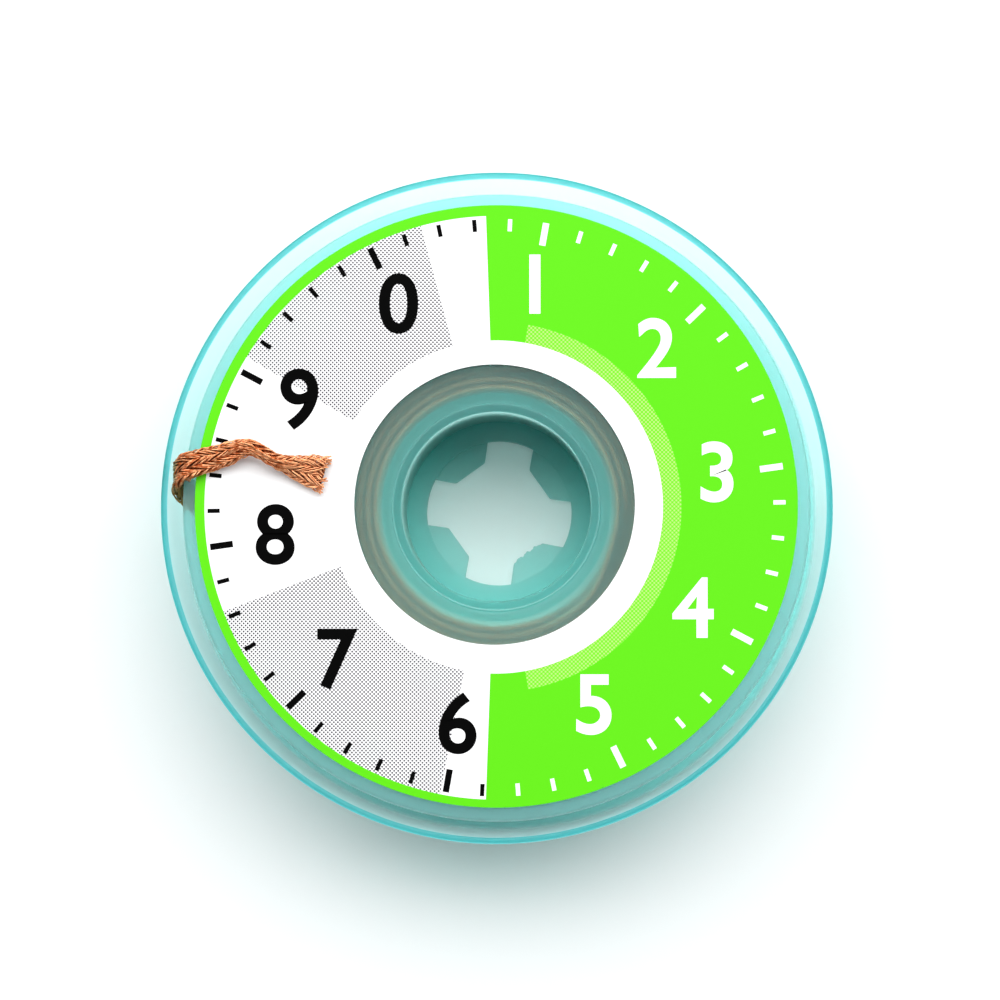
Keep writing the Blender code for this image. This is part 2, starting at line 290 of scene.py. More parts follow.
@dataclass(frozen=True)
class MouldedPolystyrene:
    """Tinted translucent polystyrene from a polished mould.

    Light is coloured by every millimetre of it that it passes, so thin walls look pale and thick
    ones teal. Fine haze sends some light back and spreads some forward, most where the view runs
    a long way through the plastic, and the edges glow with the light that it carries along. The
    skin is smooth but for fine flow and turning marks.
    """

    name: str
    body: Haze
    deep: Haze                       # where the plastic is deep below its skin, near the axis
    edge: Haze                       # along the edges that glow
    slant_clear: float               # as Haze.clear, for the body seen at a slant
    spread: float                    # share of the haze's light that goes forward
    absorption: float                # per metre, for the colours that the tint holds back
    deep_inside: float               # radius of the deep zone
    deep_above: float = -1.0         # the height that it starts at
    edge_outside: float = 1.0        # radius from which the plastic counts as edge
    edge_above: float = 1.0          # height from which it counts as edge
    held_back: str = "#5cf3f0"       # what the tint leaves of light, as the absorption's colour
    skin: str = "#f8fefe"
    passed: str = "#f2f0ee"          # what one skin lets through to light up things behind it
    roughness: float = 0.14
    refraction: float = 1.5
    flow_mark_size: float = 1.6 * MM
    turning_mark_pitch: float = 0.22 * MM    # coarser than the real ones, which wouldn't show
    turning_mark_share: float = 0.3          # of the flow marks' height
    mark_depth: float = 0.004 * MM
    mark_strength: float = 0.35
    slant_range: tuple[float, float] = (0.35, 0.8)    # in which the body goes over to slant_clear
    zone_blend: float = 0.1 * MM

    def material(self) -> bpy.types.Material:
        """Build the finish.

        Returns:
            The material, a hazy skin round a clear body that takes red out of light.
        """
        material, tree = empty_material(self.name)
        place = add_node(tree, "ShaderNodeTexCoord").outputs["Object"]
        flow = add_node(tree, "ShaderNodeTexNoise", {
            "Vector": place, "Scale": 1.0 / self.flow_mark_size, "Detail": 3.0,
        })
        level = add_node(tree, "ShaderNodeVectorMath", {0: place, 1: (1.0, 1.0, 0.0)},
                         operation="MULTIPLY")
        radius = add_node(tree, "ShaderNodeVectorMath", {0: level.outputs[0]},
                          operation="LENGTH").outputs["Value"]
        height = add_node(tree, "ShaderNodeSeparateXYZ", {0: place}).outputs["Z"]
        turning = add_node(tree, "ShaderNodeMath", {
            0: radius, 1: math.tau / self.turning_mark_pitch,
        }, operation="MULTIPLY")
        rings = add_node(tree, "ShaderNodeMath", {0: turning.outputs[0]}, operation="SINE")
        relief = add_node(tree, "ShaderNodeMath", {
            0: rings.outputs[0], 1: self.turning_mark_share, 2: flow.outputs["Fac"],
        }, operation="MULTIPLY_ADD")
        marks = add_node(tree, "ShaderNodeBump", {
            "Height": relief.outputs[0], "Strength": self.mark_strength,
            "Distance": self.mark_depth,
        })
        deep, edge = self._zone_marks(tree, radius, height)
        slant = add_node(tree, "ShaderNodeLayerWeight", {"Blend": 0.5})
        body_clear = add_node(tree, "ShaderNodeMapRange", {
            "Value": slant.outputs["Facing"], "To Min": self.body.clear,
            "To Max": self.slant_clear, "From Min": self.slant_range[0],
            "From Max": self.slant_range[1],
        })
        inner_clear = add_node(tree, "ShaderNodeMix", {
            0: deep, 2: body_clear.outputs[0], 3: self.deep.clear,
        })
        share = add_node(tree, "ShaderNodeMix", {
            0: edge, 2: inner_clear.outputs[0], 3: self.edge.clear,
        })
        sent_back, spread_on = (self._zoned(tree, deep, edge, [
            getattr(zone, way) for zone in (self.body, self.deep, self.edge)
        ]) for way in ("sent_back", "forward"))
        back = add_node(tree, "ShaderNodeBsdfDiffuse", {"Color": sent_back})
        forward = add_node(tree, "ShaderNodeBsdfTranslucent", {"Color": spread_on})
        haze = add_node(tree, "ShaderNodeMixShader", {
            0: self.spread, 1: back.outputs[0], 2: forward.outputs[0],
        })
        skin = add_node(tree, "ShaderNodeBsdfPrincipled", {
            "Base Color": linear_colour(self.skin),
            "Roughness": self.roughness,
            "IOR": self.refraction,
            "Transmission Weight": 1.0,
            "Normal": marks.outputs["Normal"],
        })
        seen = add_node(tree, "ShaderNodeMixShader", {
            0: share.outputs[0], 1: haze.outputs[0], 2: skin.outputs[0],
        })
        passing = add_node(tree, "ShaderNodeBsdfTransparent", {
            "Color": linear_colour(self.passed),
        })
        ray = add_node(tree, "ShaderNodeLightPath")
        surface = add_node(tree, "ShaderNodeMixShader", {
            0: ray.outputs["Is Shadow Ray"], 1: seen.outputs[0], 2: passing.outputs[0],
        })
        inside = add_node(tree, "ShaderNodeVolumeAbsorption", {
            "Color": linear_colour(self.held_back), "Density": self.absorption,
        })
        add_node(tree, "ShaderNodeOutputMaterial", {
            "Surface": surface.outputs[0], "Volume": inside.outputs[0],
        })
        return material

    def _zone_marks(self, tree: Tree, radius: Socket, height: Socket) -> list[Socket]:
        """Mark the deep zone, and the edges that glow.

        Args:
            tree: The material's node tree.
            radius: The distance from the axis.
            height: The height above the table.

        Returns:
            The two marks, which go from 0 to 1 over a short blend.
        """
        marks = []
        for way, limits in (
            ("MULTIPLY", ((radius, self.deep_inside, Side.BELOW),
                          (height, self.deep_above, Side.ABOVE))),
            ("MAXIMUM", ((radius, self.edge_outside, Side.ABOVE),
                         (height, self.edge_above, Side.ABOVE))),
        ):
            beyond = []
            for measure, limit, side in limits:
                reach = side.value * self.zone_blend
                beyond.append(add_node(tree, "ShaderNodeMapRange", {
                    "Value": measure, "From Min": limit - reach, "From Max": limit + reach,
                }).outputs[0])
            marks.append(add_node(tree, "ShaderNodeMath", {0: beyond[0], 1: beyond[1]},
                                  operation=way).outputs[0])
        return marks

    @staticmethod
    def _zoned(tree: Tree, deep: Socket, edge: Socket, colours: Sequence[str]) -> Socket:
        """Lay out the colours of the three zones.

        Args:
            tree: The material's node tree.
            deep: The mark of the deep zone.
            edge: The mark of the edge.
            colours: The colours of the body, the deep zone and the edge.

        Returns:
            The colour's socket.
        """
        body, inner, outer = colours
        return mixed_colour(tree, edge, mixed_colour(tree, deep, body, inner), outer)


@dataclass(frozen=True)
class Zone:
    """One printed area of the label: part of a ring, in millimetres and degrees."""

    inner: float
    outer: float
    middle: float
    half_angle: float
    colour: str
    dots: str | None = None

    @property
    def least_cosine(self) -> float:
        """Cosine of the half angle, a trace lower, so that a whole ring has no gap."""
        return math.cos(math.radians(self.half_angle)) - 1e-6


@dataclass(frozen=True)
class PrintedPaper:
    """Coated white paper with offset printing in flat green and screened grey.

    The coating gives a soft sheen, the flat inks look even and bright, and the grey is a screen
    of dark dots that shows as a fine check at this distance. The back and the cut edges are plain.
    """

    name: str = "offset_printed_coated_paper"
    ground: str = "#5fdc0c"
    plain: str = "#f2f1ec"
    zones: tuple[Zone, ...] = ()
    screen_pitch: float = 0.186      # in millimetres, along the rows of dots
    dot_level: float = 0.2           # lower for larger dots
    upward: float = 0.5              # a face that looks up more than this is printed
    fibre_size: float = 0.12 * MM
    fibre_depth: float = 0.003 * MM
    fibre_strength: float = 0.35
    roughness: float = 0.48
    refraction: float = 1.45
    sheen: float = 0.2

    def material(self) -> bpy.types.Material:
        """Build the finish.

        Returns:
            The printed paper, its areas laid out round the part's axis.
        """
        material, tree = empty_material(self.name)
        place = add_node(tree, "ShaderNodeTexCoord").outputs["Object"]
        level = add_node(tree, "ShaderNodeVectorMath", {0: place, 1: (1.0 / MM, 1.0 / MM, 0.0)},
                         operation="MULTIPLY").outputs[0]
        radius = add_node(tree, "ShaderNodeVectorMath", {0: level},
                          operation="LENGTH").outputs["Value"]
        axes = add_node(tree, "ShaderNodeSeparateXYZ", {0: level})
        angle = add_node(tree, "ShaderNodeMath", {0: axes.outputs["Y"], 1: axes.outputs["X"]},
                         operation="ARCTAN2").outputs[0]
        dots = self._screen(tree, level)
        colour: Any = self.ground
        for zone in self.zones:
            from_middle = add_node(tree, "ShaderNodeMath", {
                0: angle, 1: math.radians(zone.middle),
            }, operation="SUBTRACT")
            facing = add_node(tree, "ShaderNodeMath", {0: from_middle.outputs[0]},
                              operation="COSINE")
            area: Any = 1.0
            for measure, way, limit in (
                (facing.outputs[0], "GREATER_THAN", zone.least_cosine),
                (radius, "GREATER_THAN", zone.inner),
                (radius, "LESS_THAN", zone.outer),
            ):
                within = add_node(tree, "ShaderNodeMath", {0: measure, 1: limit}, operation=way)
                area = add_node(tree, "ShaderNodeMath", {0: within.outputs[0], 1: area},
                                operation="MULTIPLY").outputs[0]
            ink: Any = zone.colour
            if zone.dots:
                ink = mixed_colour(tree, dots, ink, zone.dots)
            colour = mixed_colour(tree, area, colour, ink)
        normal = add_node(tree, "ShaderNodeNewGeometry").outputs["Normal"]
        rise = add_node(tree, "ShaderNodeSeparateXYZ", {0: normal}).outputs["Z"]
        printed = add_node(tree, "ShaderNodeMath", {0: rise, 1: self.upward},
                           operation="GREATER_THAN")
        colour = mixed_colour(tree, printed.outputs[0], self.plain, colour)
        fibres = add_node(tree, "ShaderNodeTexNoise", {
            "Vector": place, "Scale": 1.0 / self.fibre_size, "Detail": 2.0,
        })
        grain = add_node(tree, "ShaderNodeBump", {
            "Height": fibres.outputs["Fac"], "Strength": self.fibre_strength,
            "Distance": self.fibre_depth,
        })
        skin = add_node(tree, "ShaderNodeBsdfPrincipled", {
            "Base Color": colour, "Roughness": self.roughness, "IOR": self.refraction,
            "Specular IOR Level": self.sheen, "Normal": grain.outputs[0],
        })
        add_node(tree, "ShaderNodeOutputMaterial", {"Surface": skin.outputs[0]})
        return material

    def _screen(self, tree: Tree, level: Socket) -> Socket:
        """Lay a screen of round dots at 45 degrees.

        Args:
            tree: The label's node tree.
            level: The place on the label, in millimetres.

        Returns:
            A socket that is 1 on a dot and 0 between the dots.
        """
        waves = []
        across = math.tau / (self.screen_pitch * math.sqrt(2.0))
        for direction in ((across, across, 0.0), (across, -across, 0.0)):
            along = add_node(tree, "ShaderNodeVectorMath", {0: level, 1: direction},
                             operation="DOT_PRODUCT")
            waves.append(add_node(tree, "ShaderNodeMath", {0: along.outputs["Value"]},
                                  operation="SINE").outputs[0])
        both = add_node(tree, "ShaderNodeMath", {0: waves[0], 1: waves[1]}, operation="ADD")
        return add_node(tree, "ShaderNodeMath", {0: both.outputs[0], 1: self.dot_level},
                        operation="GREATER_THAN").outputs[0]


@dataclass(frozen=True)
class PrintInk:
    """A solid layer of printing ink, flat and a little glossier than the paper."""

    ink: Ink
    mottle_size: float = 0.4 * MM
    paler: float = 0.95              # what the mottle leaves of the colour
    lift: float = 0.001              # and the light that it adds
    roughness: float = 0.42
    refraction: float = 1.48
    sheen: float = 0.02

    def material(self) -> bpy.types.Material:
        """Build the finish.

        Returns:
            The ink, with the faint mottle of a solid that was pressed on.
        """
        material, tree = empty_material(f"solid_{self.ink.name.lower()}_offset_ink")
        place = add_node(tree, "ShaderNodeTexCoord").outputs["Object"]
        mottle = add_node(tree, "ShaderNodeTexNoise", {
            "Vector": place, "Scale": 1.0 / self.mottle_size, "Detail": 4.0,
        })
        colour = linear_colour(self.ink.value)
        worn = [min(channel * self.paler + self.lift, 1.0) for channel in colour[:3]]
        skin = add_node(tree, "ShaderNodeBsdfPrincipled", {
            "Base Color": mixed_colour(tree, mottle.outputs["Fac"], colour, (*worn, 1.0)),
            "Roughness": self.roughness, "IOR": self.refraction,
            "Specular IOR Level": self.sheen,
        })
        add_node(tree, "ShaderNodeOutputMaterial", {"Surface": skin.outputs[0]})
        return material


@dataclass(frozen=True)
class CopperWire:
    """Fine drawn copper wire with a thin dried coat of flux.

    Bright orange patches along the wires are painted glints on the bare copper, and the amber
    flux and a little tarnish darken it to brown between them. Painted shade, with some flux,
    darkens a wire where it dives under the others, painted olive shade covers the wires in the
    slit beside the lid, and painted light brightens the flared cut end.
    """

    name: str = "drawn_copper_wire_with_flux"
    bright: str = "#ffba88"
    tarnished: str = "#c66a3a"
    # painted shade, with some flux: the wire is drawn darker where it dives under the others
    crevice_flux_and_shade: str = "#8c4a2a"         # where a wire dives under the others
    # painted shade in the slit beside the lid, olive from the light that comes through the teal
    # plastic
    slit_shade_olive: str = "#8c7440"      # where it lies in the slit beside the lid
    slit_shade_from: float = 9.95 * MM    # higher than this there is none of it
    slit_shade_full: float = 9.3 * MM     # and lower than this it covers the wires
    slit_shade_cover: float = 0.85
    cut_end: float = -14.2 * MM      # nearer the axis than this, painted light brightens the spread wires of the cut end
    cut_end_full: float = -12.2 * MM
    end_light_cover: float = 0.7
    patches: float = 2.2             # of tarnish and of painted glints, in each millimetre of a wire
    patch_range: tuple[float, float] = (0.38, 0.62)    # of the noise, from tarnished to bright
    top_range: tuple[float, float] = (0.1, 0.75)       # of a wire's rise, from the painted crevice shade to copper
    roughness: float = 0.3

    def material(self) -> bpy.types.Material:
        """Build the finish.

        Returns:
            The wire, which varies along each strand.
        """
        material, tree = empty_material(self.name)
        along = add_node(tree, "ShaderNodeUVMap", uv_map="along_wire").outputs[0]
        run = add_node(tree, "ShaderNodeSeparateXYZ", {0: along})
        patches = add_node(tree, "ShaderNodeTexNoise", {
            "W": run.outputs["X"], "Scale": self.patches, "Detail": 2.0,
        }, noise_dimensions="1D")
        spread = add_node(tree, "ShaderNodeMapRange", {
            "Value": patches.outputs["Fac"], "From Min": self.patch_range[0],
            "From Max": self.patch_range[1],
        })
        # the bright patches are painted glints, the others tarnish
        copper = mixed_colour(tree, spread.outputs[0], self.tarnished, self.bright)
        on_top = add_node(tree, "ShaderNodeMapRange", {
            "Value": run.outputs["Y"], "From Min": self.top_range[0],
            "From Max": self.top_range[1],
        })
        # painted shade where the wire lies under the others
        woven = mixed_colour(tree, on_top.outputs[0], self.crevice_flux_and_shade, copper)
        place = add_node(tree, "ShaderNodeTexCoord").outputs["Object"]
        axes = add_node(tree, "ShaderNodeSeparateXYZ", {0: place})
        # painted shade on the wires that lie low in the slit
        in_slit = add_node(tree, "ShaderNodeMapRange", {
            "Value": axes.outputs["Z"], "From Min": self.slit_shade_from, "From Max": self.slit_shade_full,
            "To Max": self.slit_shade_cover,
        })
        # painted light: the flared cut end is drawn brighter
        spread_out = add_node(tree, "ShaderNodeMapRange", {
            "Value": axes.outputs["X"], "From Min": self.cut_end,
            "From Max": self.cut_end_full, "To Max": self.end_light_cover,
        })
        end_lit = mixed_colour(tree, spread_out.outputs[0], woven, self.bright)
        colour = mixed_colour(tree, in_slit.outputs[0], end_lit, self.slit_shade_olive)
        skin = add_node(tree, "ShaderNodeBsdfPrincipled", {
            "Base Color": colour, "Metallic": 1.0, "Roughness": self.roughness,
        })
        add_node(tree, "ShaderNodeOutputMaterial", {"Surface": skin.outputs[0]})
        return material


@dataclass(frozen=True)
class WovenCopper:
    """Flat woven copper seen as a whole, for the turns that lie wound inside the case.

    Its slanting strands are painted lighter on their crests, a painted highlight, and darker in
    the grooves between them, a painted shade, so the band looks finely ribbed.
    """

    name: str = "woven_copper_braid"
    bright: str = "#e6a27a"
    # painted shade in the grooves between the strands
    gap: str = "#b97b5b"
    core_shade: str = "#70391f"     # painted shade on the core, where it shows between the single wires
    wires_from: float = 1.0e4        # where along the braid those start, in millimetres
    wires_blend: float = 1.5         # in millimetres
    columns: int = 4
    strand_pitch: float = 0.3        # in millimetres, along a column
    strand_slope: float = 1.1
    strand_depth: float = 0.04 * MM
    strand_strength: float = 0.8
    braid_width: float = 1.5         # in millimetres
    roughness: float = 0.42

    def material(self) -> bpy.types.Material:
        """Build the finish.

        Returns:
            The weave, drawn as slanting strands in columns that lean by turns left and right.
        """
        material, tree = empty_material(self.name)
        lay = add_node(tree, "ShaderNodeUVMap", uv_map="along_braid").outputs[0]
        axes = add_node(tree, "ShaderNodeSeparateXYZ", {0: lay})
        fold = add_node(tree, "ShaderNodeMath", {
            0: axes.outputs["Y"], 1: self.braid_width / self.columns,
        }, operation="PINGPONG").outputs[0]
        slant = add_node(tree, "ShaderNodeMath", {
            0: fold, 1: self.strand_slope, 2: axes.outputs["X"],
        }, operation="MULTIPLY_ADD").outputs[0]
        phase = add_node(tree, "ShaderNodeMath", {0: slant, 1: math.tau / self.strand_pitch},
                         operation="MULTIPLY").outputs[0]
        ridge = add_node(tree, "ShaderNodeMath", {0: phase}, operation="SINE").outputs[0]
        height = add_node(tree, "ShaderNodeMapRange", {
            "Value": ridge, "From Min": -1.0, "From Max": 1.0,
        }).outputs[0]
        # painted highlight on the strands' crests and painted shade in the grooves
        woven = mixed_colour(tree, height, self.gap, self.bright)
        # painted shade on the core under the single wires of the free end
        core = add_node(tree, "ShaderNodeMapRange", {
            "Value": axes.outputs["X"], "From Min": self.wires_from,
            "From Max": self.wires_from + self.wires_blend,
        })
        weave = add_node(tree, "ShaderNodeBump", {
            "Height": height, "Strength": self.strand_strength, "Distance": self.strand_depth,
        })
        skin = add_node(tree, "ShaderNodeBsdfPrincipled", {
            "Base Color": mixed_colour(tree, core.outputs[0], woven, self.core_shade),
            "Metallic": 1.0, "Roughness": self.roughness, "Normal": weave.outputs[0],
        })
        add_node(tree, "ShaderNodeOutputMaterial", {"Surface": skin.outputs[0]})
        return material


@dataclass
class CaseDish:
    """The case base: floor with a tabbed opening, thin wall with its rim, and the hub tube."""

    rim_radius: float = 22.0 * MM
    rim_thickness: float = 0.4 * MM
    wall_foot_thickness: float = 0.5 * MM
    wall_draft: float = 0.12 * MM
    floor_thickness: float = 1.0 * MM
    bottom_edge_radius: float = 0.9 * MM
    floor_fillet: float = 0.4 * MM
    hub_radius: float = 7.52 * MM
    hub_wall: float = 0.54 * MM
    hub_top: float = 8.5 * MM
    height: float = 9.6 * MM
    opening_radius: float = 4.9 * MM
    tab_count: int = 4
    first_tab_angle: float = math.radians(35.6)
    tab_thickness: float = 0.5 * MM
    tab_tip_distance: float = 3.37 * MM
    tab_tip_half_width: float = 1.2 * MM
    tab_root_half_width: float = 2.17 * MM
    tab_step_margin: float = 0.05 * MM
    tab_corner: float = 0.16 * MM
    tab_sides_from: float = 16.0     # in degrees from a tab's middle, where more sections stand
    tab_sides_step: float = 0.4
    tab_sides_count: int = 30
    flash_tab: int = 3
    flash_reach: float = 0.2 * MM
    flash_half_angle: float = 0.36
    flash_mean: float = 0.55
    flash_waves: tuple[tuple[float, float, float], ...] = ((0.3, 31.0, 0.0), (0.15, 73.0, 1.0))
    rim_rounding: float = 0.45       # of the rim's thickness
    hub_rounding: float = 0.3        # of the hub tube's wall
    inner_corner: float = 0.06 * MM
    corner_steps: int = 8
    turn_steps: int = 240
    material: bpy.types.Material = field(default_factory=lambda: MouldedPolystyrene(
        name="moulded_teal_polystyrene",
        body=Haze(0.74, "#a8f8f8", "#fcffff"),
        # the deep zone round the bore sends back a dark grey teal: partly the thick plastic's
        # tint, partly painted shade of the bore
        deep=Haze(0.4, "#648c88", "#d2e8e6"),
        edge=Haze(0.15, "#3c9ca0", "#88e4e8"),
        slant_clear=0.22, spread=0.94, absorption=400.0, deep_inside=8.5 * MM,
        edge_above=9.35 * MM).material())

    def opening_reach(self, angle: float) -> float:
        """Find how far from the axis the edge of the floor's opening is.

        Args:
            angle: The direction from the axis.

        Returns:
            The distance, less where a tab reaches in.
        """
        spacing = math.tau / self.tab_count
        tab = round((angle - self.first_tab_angle) / spacing)
        offset = abs(angle - self.first_tab_angle - tab * spacing)
        tip = self.tab_tip_distance / math.cos(offset)
        root_angle = math.asin(self.tab_root_half_width / self.opening_radius)
        root_distance = self.opening_radius * math.cos(root_angle)
        slope = (self.tab_root_half_width - self.tab_tip_half_width) / (
            root_distance - self.tab_tip_distance)
        at_axis = self.tab_tip_half_width - slope * self.tab_tip_distance
        closing = math.sin(offset) - slope * math.cos(offset)
        side = self.opening_radius
        if closing < -1e-6:
            side = min(at_axis / closing, self.opening_radius)
        near = max(1.0 - abs(tip - side) / self.tab_corner, 0.0)
        reach = max(tip, side) + self.tab_corner * near * near / 4.0
        if tab % self.tab_count == self.flash_tab and offset < self.flash_half_angle:
            jag = self.flash_mean + sum(
                size * math.sin(angle * count + phase) for size, count, phase in self.flash_waves)
            reach -= self.flash_reach * jag * (1.0 - (offset / self.flash_half_angle) ** 4)
        return min(reach, self.opening_radius)

    def outline_at(self, angle: float) -> Outline:
        """Return the half section at this angle, which changes only at the floor's opening."""
        reach = self.opening_reach(angle)
        step = max(self.opening_radius - self.tab_step_margin, reach)
        wall_foot = self.rim_radius - self.wall_draft
        hub_bore = self.hub_radius - self.hub_wall
        rim_round = self.rim_thickness * self.rim_rounding
        hub_round = self.hub_wall * self.hub_rounding
        return [(reach, 0.0), (reach, self.tab_thickness)] + rounded_outline([
            ((step, self.tab_thickness), 0.0),
            ((step, self.floor_thickness), 0.0),
            ((hub_bore, self.floor_thickness), 0.0),
            ((hub_bore, self.hub_top), hub_round),
            ((self.hub_radius, self.hub_top), hub_round),
            ((self.hub_radius, self.floor_thickness), self.inner_corner),
            ((wall_foot - self.wall_foot_thickness, self.floor_thickness), self.floor_fillet),
            ((self.rim_radius - self.rim_thickness, self.height), rim_round),
            ((self.rim_radius, self.height), rim_round),
            ((wall_foot, 0.0), self.bottom_edge_radius),
        ], self.corner_steps)

    def turn_angles(self) -> list[float]:
        """Return the angles of the sections, closer together along the sides of the tabs."""
        angles = full_turn(self.turn_steps)
        for tab in full_turn(self.tab_count):
            for step in range(self.tab_sides_count):
                aside = math.radians(self.tab_sides_from + self.tab_sides_step * step)
                angles += [self.first_tab_angle + tab - aside, self.first_tab_angle + tab + aside]
        return sorted(angle % math.tau for angle in angles)

    def build(self) -> list[bpy.types.Object]:
        """Build the dish and put it in the place of the CAD base.

        Returns:
            The dish.
        """
        shape = turned_shape(self.outline_at, self.turn_angles())
        dish = finished_piece("moulded_dish", shape, self.material)
        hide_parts("case_base")
        return [dish]


@dataclass
class CaseLid:
    """The lid: a flat disc with a low collar, and the sleeve that fills the hub tube."""

    radius: float = 20.55 * MM
    thickness: float = 1.0 * MM
    underside: float = 8.6 * MM
    top: float = 9.6 * MM
    edge_radius: float = 0.25 * MM
    sleeve_radius: float = 6.88 * MM
    bore_radius: float = 6.2 * MM
    sleeve_wall: float = 0.68 * MM
    sleeve_bottom: float = 1.1 * MM
    collar_width: float = 0.58 * MM
    collar_height: float = 0.15 * MM
    collar_edge_radius: float = 0.12 * MM
    inner_corner: float = 0.05 * MM
    sleeve_root: float = 0.1 * MM
    sleeve_rounding: float = 0.3     # of the sleeve's wall
    corner_steps: int = 8
    turn_steps: int = 288
    material: bpy.types.Material = field(default_factory=lambda: MouldedPolystyrene(
        name="moulded_teal_polystyrene_lid",
        body=Haze(0.68, "#aadcd6", "#f6fefd"),
        deep=Haze(0.45, "#6ecac6", "#dcfcfb"),
        edge=Haze(0.5, "#b8faf6", "#fcffff"),
        slant_clear=0.6, spread=0.8, absorption=290.0, deep_inside=7.52 * MM,
        deep_above=9.5 * MM, edge_outside=19.6 * MM, roughness=0.3).material())

    def outline_at(self, _angle: float) -> Outline:
        """Return the half section, the same at every angle."""
        collar_radius = self.bore_radius + self.collar_width
        collar_top = self.top + self.collar_height
        return rounded_outline([
            ((self.bore_radius, collar_top), self.collar_edge_radius),
            ((collar_radius, collar_top), self.collar_edge_radius),
            ((collar_radius, self.top), self.inner_corner),
            ((self.radius, self.top), self.edge_radius),
            ((self.radius, self.underside), self.edge_radius),
            ((self.sleeve_radius, self.underside), self.sleeve_root),
            ((self.sleeve_radius, self.sleeve_bottom), self.sleeve_wall * self.sleeve_rounding),
            ((self.bore_radius, self.sleeve_bottom), self.inner_corner),
        ], self.corner_steps)

    def build(self) -> list[bpy.types.Object]:
        """Build the lid and put it in the place of the CAD lid.

        Returns:
            The lid.
        """
        shape = turned_shape(self.outline_at, full_turn(self.turn_steps))
        lid = finished_piece("moulded_lid", shape, self.material)
        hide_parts("case_lid")
        return [lid]


@dataclass
class PaperLabel:
    """The round label: a paper ring printed with a plain dial of ticks and numbers."""

    radius: float = 19.72 * MM
    hole_radius: float = 9.18 * MM
    bottom: float = 9.63 * MM
    thickness: float = 0.12 * MM
    shift: tuple[float, float] = (-0.02 * MM, 0.09 * MM)
    hole_shift: tuple[float, float] = (-0.11 * MM, 0.15 * MM)
    turn_steps: int = 288
    ink_lift: float = 0.006 * MM
    ink_thickness: float = 0.9       # of its lift, so that it ends just above the paper
    ink_join: float = 0.002 * MM
    green_side: tuple[float, float] = (-92.0, 92.0)    # degrees
    numbers: int = 10
    dial_start: float = math.radians(116.0)
    number_radius: float = 14.6 * MM
    number_height: float = 3.9 * MM
    number_weight: float = 0.1 * MM
    font_height: float = 0.72        # of a number, as a share of the font's size
    font_join: float = 0.006         # likewise, for corners that are taken as one
    tick_count: int = 50
    tick_outer: float = 18.9 * MM
    tick_length: float = 0.8 * MM
    tick_width: float = 0.28 * MM
    long_tick_length: float = 1.5 * MM
    long_tick_width: float = 0.42 * MM
    zones: tuple[Zone, ...] = (
        Zone(0.0, 19.1, 180.0, 88.0, "#fefefe"),
        Zone(10.9, 19.1, 127.0, 22.0, "#fdfdfd", "#5b585e"),
        Zone(10.9, 19.1, 230.0, 29.0, "#fdfdfd", "#5b585e"),
        Zone(10.9, 12.1, 0.0, 80.0, "#76fb24", "#b9ff7c"),
        Zone(0.0, 10.9, 0.0, 180.0, "#fefefe"),
    )

    def build(self) -> list[bpy.types.Object]:
        """Build the paper and its solid inks.

        Returns:
            The paper and the ink layers.
        """
        paper = self._paper()
        inks = [self._dial(Ink.BLACK), self._dial(Ink.WHITE)]
        return [paper, *inks]

    def _paper(self) -> bpy.types.Object:
        """Build the paper ring, whose hole is cut a little off centre."""
        shape = bmesh.new()
        top = self.bottom + self.thickness
        rings = [
            [shape.verts.new(level_direction(angle) * radius + Vector((*shift, height)))
             for angle in full_turn(self.turn_steps)]
            for radius, shift, height in (
                (self.radius, self.shift, self.bottom),
                (self.radius, self.shift, top),
                (self.hole_radius, self.hole_shift, top),
                (self.hole_radius, self.hole_shift, self.bottom),
            )
        ]
        skin_over(shape, rings + rings[:1])
        finish = PrintedPaper(zones=self.zones).material()
        paper = finished_piece("paper_label", shape, finish)
        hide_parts("label")
        return paper

    def _dial(self, ink: Ink) -> bpy.types.Object:
        """Build the ticks and numbers of the dial that are printed in one ink.

        Args:
            ink: Black for the pale half of the label, white for the green half.

        Returns:
            The ink layer.
        """
        shape = bmesh.new()
        for tick, turn in enumerate(full_turn(self.tick_count)):
            angle = self.dial_start - turn
            if self._ink_at(angle) is ink:
                length, width = self.tick_length, self.tick_width
                if tick % (self.tick_count // self.numbers) == 0:
                    length, width = self.long_tick_length, self.long_tick_width
                self._add_tick(shape, angle, length, width)
        for number, turn in enumerate(full_turn(self.numbers)):
            if self._ink_at(self.dial_start - turn) is ink:
                self._add_number(shape, str(number), self.dial_start - turn)
        bmesh.ops.remove_doubles(shape, verts=shape.verts, dist=self.ink_join)
        bmesh.ops.dissolve_degenerate(shape, edges=shape.edges, dist=self.ink_join)
        film = bmesh.ops.extrude_face_region(shape, geom=shape.faces[:])
        lower = [part for part in film["geom"] if isinstance(part, bmesh.types.BMVert)]
        bmesh.ops.translate(shape, verts=lower, vec=UP * (-self.ink_thickness * self.ink_lift))
        name = f"label_{ink.name.lower()}_print"
        return finished_piece(name, shape, PrintInk(ink).material())

    def _ink_at(self, angle: float) -> Ink:
        """Return the ink that shows on the ground colour at this angle."""
        degrees = (math.degrees(angle) + 180.0) % 360.0 - 180.0
        return Ink.WHITE if self.green_side[0] < degrees < self.green_side[1] else Ink.BLACK

    def _add_tick(self, shape: Shape, angle: float, length: float, width: float) -> None:
        """Add one tick to an ink layer.

        Args:
            shape: The ink layer.
            angle: The tick's direction from the axis.
            length: Its length, inwards.
            width: Its width.
        """
        out = level_direction(angle)
        side = level_direction(angle + math.pi / 2.0) * (width / 2.0)
        lift = UP * (self.bottom + self.thickness + self.ink_lift)
        near, far = out * (self.tick_outer - length), out * self.tick_outer
        corners = (near - side, far - side, far + side, near + side)
        shape.faces.new([shape.verts.new(corner + lift) for corner in corners])

